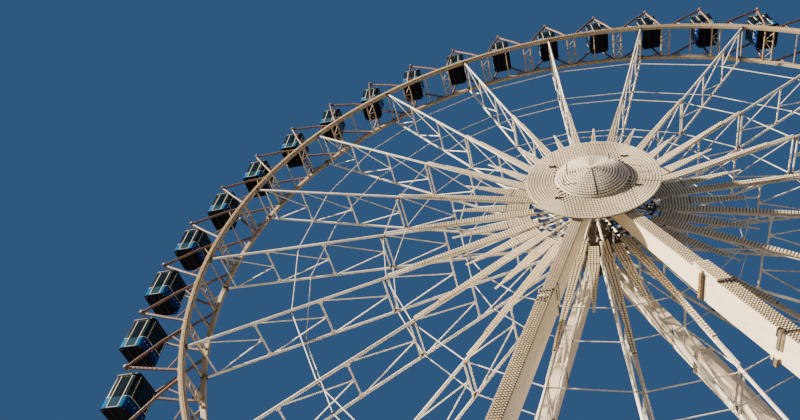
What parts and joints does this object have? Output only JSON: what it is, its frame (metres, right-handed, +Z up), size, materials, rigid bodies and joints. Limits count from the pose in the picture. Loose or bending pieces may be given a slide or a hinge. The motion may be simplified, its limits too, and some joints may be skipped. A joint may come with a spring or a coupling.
{
  "type": "ferris wheel, scale model 1:2",
  "caption": "Transportable ferris wheel at half scale: star of lamp trays, tied spokes, kinked rim brackets, level hanging cabins, splayed box legs.",
  "frame": {"origin": "on the ground, straight under the hub", "axes": "+X to the viewer's right along the wheel's plane, +Y along the shaft away from the viewer, +Z up"},
  "size_m": [28.8128, 5.09, 29.6728],
  "materials": {
    "wheel_paint": "weathered satin cream",
    "rim_paint": "weathered satin cream",
    "leg_paint": "satin cream",
    "lamp_panel": "matt cream with small lamps",
    "dark_steel": "dark weathered steel",
    "worn_steel": "rust stained steel",
    "cabin_blue": "gloss blue",
    "cabin_roof": "gloss black",
    "cabin_trim": "white trim",
    "cabin_glass": "dark tinted glass",
    "lamp_lens": "white lamp lens"
  },
  "bodies": {
    "support": {"base_frame": "dark_steel", "leg_front_left": "leg_paint", "leg_front_right": "leg_paint", "leg_rear_left": "leg_paint", "leg_rear_right": "leg_paint", "axle": "dark_steel", "hub_disc": "lamp_panel", "hub_dome": "lamp_panel"},
    "wheel": {"hub_drum": "wheel_paint", "rim_front": "rim_paint", "rim_rear": "rim_paint", "spokes_a": "wheel_paint", "spokes_b": "wheel_paint", "tie_ring_inner_front": "wheel_paint", "tie_ring_inner_rear": "wheel_paint", "tie_ring_middle_front": "wheel_paint", "tie_ring_middle_rear": "wheel_paint", "tie_ring_outer_front": "wheel_paint", "tie_ring_outer_rear": "wheel_paint", "lamp_star": "lamp_panel"},
    "cabin_01_body": {"cabin_01": "cabin_blue"},
    "cabin_02_body": {"cabin_02": "cabin_blue"},
    "cabin_03_body": {"cabin_03": "cabin_blue"},
    "cabin_04_body": {"cabin_04": "cabin_blue"},
    "cabin_05_body": {"cabin_05": "cabin_blue"},
    "cabin_06_body": {"cabin_06": "cabin_blue"},
    "cabin_07_body": {"cabin_07": "cabin_blue"},
    "cabin_08_body": {"cabin_08": "cabin_blue"},
    "cabin_09_body": {"cabin_09": "cabin_blue"},
    "cabin_10_body": {"cabin_10": "cabin_blue"},
    "cabin_11_body": {"cabin_11": "cabin_blue"},
    "cabin_12_body": {"cabin_12": "cabin_blue"},
    "cabin_13_body": {"cabin_13": "cabin_blue"},
    "cabin_14_body": {"cabin_14": "cabin_blue"},
    "cabin_15_body": {"cabin_15": "cabin_blue"},
    "cabin_16_body": {"cabin_16": "cabin_blue"},
    "cabin_17_body": {"cabin_17": "cabin_blue"},
    "cabin_18_body": {"cabin_18": "cabin_blue"},
    "cabin_19_body": {"cabin_19": "cabin_blue"},
    "cabin_20_body": {"cabin_20": "cabin_blue"},
    "cabin_21_body": {"cabin_21": "cabin_blue"},
    "cabin_22_body": {"cabin_22": "cabin_blue"},
    "cabin_23_body": {"cabin_23": "cabin_blue"},
    "cabin_24_body": {"cabin_24": "cabin_blue"},
    "cabin_25_body": {"cabin_25": "cabin_blue"},
    "cabin_26_body": {"cabin_26": "cabin_blue"},
    "cabin_27_body": {"cabin_27": "cabin_blue"},
    "cabin_28_body": {"cabin_28": "cabin_blue"},
    "cabin_29_body": {"cabin_29": "cabin_blue"},
    "cabin_30_body": {"cabin_30": "cabin_blue"},
    "cabin_31_body": {"cabin_31": "cabin_blue"},
    "cabin_32_body": {"cabin_32": "cabin_blue"},
    "cabin_33_body": {"cabin_33": "cabin_blue"},
    "cabin_34_body": {"cabin_34": "cabin_blue"},
    "cabin_35_body": {"cabin_35": "cabin_blue"},
    "cabin_36_body": {"cabin_36": "cabin_blue"},
    "cabin_37_body": {"cabin_37": "cabin_blue"},
    "cabin_38_body": {"cabin_38": "cabin_blue"},
    "cabin_39_body": {"cabin_39": "cabin_blue"},
    "cabin_40_body": {"cabin_40": "cabin_blue"}
  },
  "joints": [
    {"name": "wheel_spin", "type": "hinge", "parent": "support", "child": "wheel", "pos_m": [0, 0, 15.6], "axis": [0, 1, 0], "continuous": true},
    {"name": "cabin_01_swing", "type": "hinge", "parent": "wheel", "child": "cabin_01_body", "pos_m": [0.31808, 0, 29.61639], "axis": [0, 1, 0], "continuous": true},
    {"name": "cabin_02_swing", "type": "hinge", "parent": "wheel", "child": "cabin_02_body", "pos_m": [2.50681, 0, 29.39407], "axis": [0, 1, 0], "continuous": true},
    {"name": "cabin_03_swing", "type": "hinge", "parent": "wheel", "child": "cabin_03_body", "pos_m": [4.63381, 0, 28.83209], "axis": [0, 1, 0], "continuous": true},
    {"name": "cabin_04_swing", "type": "hinge", "parent": "wheel", "child": "cabin_04_body", "pos_m": [6.64672, 0, 27.94429], "axis": [0, 1, 0], "continuous": true},
    {"name": "cabin_05_swing", "type": "hinge", "parent": "wheel", "child": "cabin_05_body", "pos_m": [8.49596, 0, 26.75254], "axis": [0, 1, 0], "continuous": true},
    {"name": "cabin_06_swing", "type": "hinge", "parent": "wheel", "child": "cabin_06_body", "pos_m": [10.136, 0, 25.28617], "axis": [0, 1, 0], "continuous": true},
    {"name": "cabin_07_swing", "type": "hinge", "parent": "wheel", "child": "cabin_07_body", "pos_m": [11.52646, 0, 23.5813], "axis": [0, 1, 0], "continuous": true},
    {"name": "cabin_08_swing", "type": "hinge", "parent": "wheel", "child": "cabin_08_body", "pos_m": [12.6331, 0, 21.6799], "axis": [0, 1, 0], "continuous": true},
    {"name": "cabin_09_swing", "type": "hinge", "parent": "wheel", "child": "cabin_09_body", "pos_m": [13.42867, 0, 19.62879], "axis": [0, 1, 0], "continuous": true},
    {"name": "cabin_10_swing", "type": "hinge", "parent": "wheel", "child": "cabin_10_body", "pos_m": [13.89358, 0, 17.47849], "axis": [0, 1, 0], "continuous": true},
    {"name": "cabin_11_swing", "type": "hinge", "parent": "wheel", "child": "cabin_11_body", "pos_m": [14.01639, 0, 15.28192], "axis": [0, 1, 0], "continuous": true},
    {"name": "cabin_12_swing", "type": "hinge", "parent": "wheel", "child": "cabin_12_body", "pos_m": [13.79407, 0, 13.09319], "axis": [0, 1, 0], "continuous": true},
    {"name": "cabin_13_swing", "type": "hinge", "parent": "wheel", "child": "cabin_13_body", "pos_m": [13.23209, 0, 10.96619], "axis": [0, 1, 0], "continuous": true},
    {"name": "cabin_14_swing", "type": "hinge", "parent": "wheel", "child": "cabin_14_body", "pos_m": [12.34429, 0, 8.95328], "axis": [0, 1, 0], "continuous": true},
    {"name": "cabin_15_swing", "type": "hinge", "parent": "wheel", "child": "cabin_15_body", "pos_m": [11.15254, 0, 7.10404], "axis": [0, 1, 0], "continuous": true},
    {"name": "cabin_16_swing", "type": "hinge", "parent": "wheel", "child": "cabin_16_body", "pos_m": [9.68617, 0, 5.464], "axis": [0, 1, 0], "continuous": true},
    {"name": "cabin_17_swing", "type": "hinge", "parent": "wheel", "child": "cabin_17_body", "pos_m": [7.9813, 0, 4.07354], "axis": [0, 1, 0], "continuous": true},
    {"name": "cabin_18_swing", "type": "hinge", "parent": "wheel", "child": "cabin_18_body", "pos_m": [6.0799, 0, 2.9669], "axis": [0, 1, 0], "continuous": true},
    {"name": "cabin_19_swing", "type": "hinge", "parent": "wheel", "child": "cabin_19_body", "pos_m": [4.02879, 0, 2.17133], "axis": [0, 1, 0], "continuous": true},
    {"name": "cabin_20_swing", "type": "hinge", "parent": "wheel", "child": "cabin_20_body", "pos_m": [1.87849, 0, 1.70642], "axis": [0, 1, 0], "continuous": true},
    {"name": "cabin_21_swing", "type": "hinge", "parent": "wheel", "child": "cabin_21_body", "pos_m": [-0.31808, 0, 1.58361], "axis": [0, 1, 0], "continuous": true},
    {"name": "cabin_22_swing", "type": "hinge", "parent": "wheel", "child": "cabin_22_body", "pos_m": [-2.50681, 0, 1.80593], "axis": [0, 1, 0], "continuous": true},
    {"name": "cabin_23_swing", "type": "hinge", "parent": "wheel", "child": "cabin_23_body", "pos_m": [-4.63381, 0, 2.36791], "axis": [0, 1, 0], "continuous": true},
    {"name": "cabin_24_swing", "type": "hinge", "parent": "wheel", "child": "cabin_24_body", "pos_m": [-6.64672, 0, 3.25571], "axis": [0, 1, 0], "continuous": true},
    {"name": "cabin_25_swing", "type": "hinge", "parent": "wheel", "child": "cabin_25_body", "pos_m": [-8.49596, 0, 4.44746], "axis": [0, 1, 0], "continuous": true},
    {"name": "cabin_26_swing", "type": "hinge", "parent": "wheel", "child": "cabin_26_body", "pos_m": [-10.136, 0, 5.91383], "axis": [0, 1, 0], "continuous": true},
    {"name": "cabin_27_swing", "type": "hinge", "parent": "wheel", "child": "cabin_27_body", "pos_m": [-11.52646, 0, 7.6187], "axis": [0, 1, 0], "continuous": true},
    {"name": "cabin_28_swing", "type": "hinge", "parent": "wheel", "child": "cabin_28_body", "pos_m": [-12.6331, 0, 9.5201], "axis": [0, 1, 0], "continuous": true},
    {"name": "cabin_29_swing", "type": "hinge", "parent": "wheel", "child": "cabin_29_body", "pos_m": [-13.42867, 0, 11.57121], "axis": [0, 1, 0], "continuous": true},
    {"name": "cabin_30_swing", "type": "hinge", "parent": "wheel", "child": "cabin_30_body", "pos_m": [-13.89358, 0, 13.72151], "axis": [0, 1, 0], "continuous": true},
    {"name": "cabin_31_swing", "type": "hinge", "parent": "wheel", "child": "cabin_31_body", "pos_m": [-14.01639, 0, 15.91808], "axis": [0, 1, 0], "continuous": true},
    {"name": "cabin_32_swing", "type": "hinge", "parent": "wheel", "child": "cabin_32_body", "pos_m": [-13.79407, 0, 18.10681], "axis": [0, 1, 0], "continuous": true},
    {"name": "cabin_33_swing", "type": "hinge", "parent": "wheel", "child": "cabin_33_body", "pos_m": [-13.23209, 0, 20.23381], "axis": [0, 1, 0], "continuous": true},
    {"name": "cabin_34_swing", "type": "hinge", "parent": "wheel", "child": "cabin_34_body", "pos_m": [-12.34429, 0, 22.24672], "axis": [0, 1, 0], "continuous": true},
    {"name": "cabin_35_swing", "type": "hinge", "parent": "wheel", "child": "cabin_35_body", "pos_m": [-11.15254, 0, 24.09596], "axis": [0, 1, 0], "continuous": true},
    {"name": "cabin_36_swing", "type": "hinge", "parent": "wheel", "child": "cabin_36_body", "pos_m": [-9.68617, 0, 25.736], "axis": [0, 1, 0], "continuous": true},
    {"name": "cabin_37_swing", "type": "hinge", "parent": "wheel", "child": "cabin_37_body", "pos_m": [-7.9813, 0, 27.12646], "axis": [0, 1, 0], "continuous": true},
    {"name": "cabin_38_swing", "type": "hinge", "parent": "wheel", "child": "cabin_38_body", "pos_m": [-6.0799, 0, 28.2331], "axis": [0, 1, 0], "continuous": true},
    {"name": "cabin_39_swing", "type": "hinge", "parent": "wheel", "child": "cabin_39_body", "pos_m": [-4.02879, 0, 29.02867], "axis": [0, 1, 0], "continuous": true},
    {"name": "cabin_40_swing", "type": "hinge", "parent": "wheel", "child": "cabin_40_body", "pos_m": [-1.87849, 0, 29.49358], "axis": [0, 1, 0], "continuous": true}
  ],
  "couplings": [
    {"joint": "cabin_01_swing", "follows": "wheel_spin", "ratio": -1},
    {"joint": "cabin_02_swing", "follows": "wheel_spin", "ratio": -1},
    {"joint": "cabin_03_swing", "follows": "wheel_spin", "ratio": -1},
    {"joint": "cabin_04_swing", "follows": "wheel_spin", "ratio": -1},
    {"joint": "cabin_05_swing", "follows": "wheel_spin", "ratio": -1},
    {"joint": "cabin_06_swing", "follows": "wheel_spin", "ratio": -1},
    {"joint": "cabin_07_swing", "follows": "wheel_spin", "ratio": -1},
    {"joint": "cabin_08_swing", "follows": "wheel_spin", "ratio": -1},
    {"joint": "cabin_09_swing", "follows": "wheel_spin", "ratio": -1},
    {"joint": "cabin_10_swing", "follows": "wheel_spin", "ratio": -1},
    {"joint": "cabin_11_swing", "follows": "wheel_spin", "ratio": -1},
    {"joint": "cabin_12_swing", "follows": "wheel_spin", "ratio": -1},
    {"joint": "cabin_13_swing", "follows": "wheel_spin", "ratio": -1},
    {"joint": "cabin_14_swing", "follows": "wheel_spin", "ratio": -1},
    {"joint": "cabin_15_swing", "follows": "wheel_spin", "ratio": -1},
    {"joint": "cabin_16_swing", "follows": "wheel_spin", "ratio": -1},
    {"joint": "cabin_17_swing", "follows": "wheel_spin", "ratio": -1},
    {"joint": "cabin_18_swing", "follows": "wheel_spin", "ratio": -1},
    {"joint": "cabin_19_swing", "follows": "wheel_spin", "ratio": -1},
    {"joint": "cabin_20_swing", "follows": "wheel_spin", "ratio": -1},
    {"joint": "cabin_21_swing", "follows": "wheel_spin", "ratio": -1},
    {"joint": "cabin_22_swing", "follows": "wheel_spin", "ratio": -1},
    {"joint": "cabin_23_swing", "follows": "wheel_spin", "ratio": -1},
    {"joint": "cabin_24_swing", "follows": "wheel_spin", "ratio": -1},
    {"joint": "cabin_25_swing", "follows": "wheel_spin", "ratio": -1},
    {"joint": "cabin_26_swing", "follows": "wheel_spin", "ratio": -1},
    {"joint": "cabin_27_swing", "follows": "wheel_spin", "ratio": -1},
    {"joint": "cabin_28_swing", "follows": "wheel_spin", "ratio": -1},
    {"joint": "cabin_29_swing", "follows": "wheel_spin", "ratio": -1},
    {"joint": "cabin_30_swing", "follows": "wheel_spin", "ratio": -1},
    {"joint": "cabin_31_swing", "follows": "wheel_spin", "ratio": -1},
    {"joint": "cabin_32_swing", "follows": "wheel_spin", "ratio": -1},
    {"joint": "cabin_33_swing", "follows": "wheel_spin", "ratio": -1},
    {"joint": "cabin_34_swing", "follows": "wheel_spin", "ratio": -1},
    {"joint": "cabin_35_swing", "follows": "wheel_spin", "ratio": -1},
    {"joint": "cabin_36_swing", "follows": "wheel_spin", "ratio": -1},
    {"joint": "cabin_37_swing", "follows": "wheel_spin", "ratio": -1},
    {"joint": "cabin_38_swing", "follows": "wheel_spin", "ratio": -1},
    {"joint": "cabin_39_swing", "follows": "wheel_spin", "ratio": -1},
    {"joint": "cabin_40_swing", "follows": "wheel_spin", "ratio": -1}
  ]
}
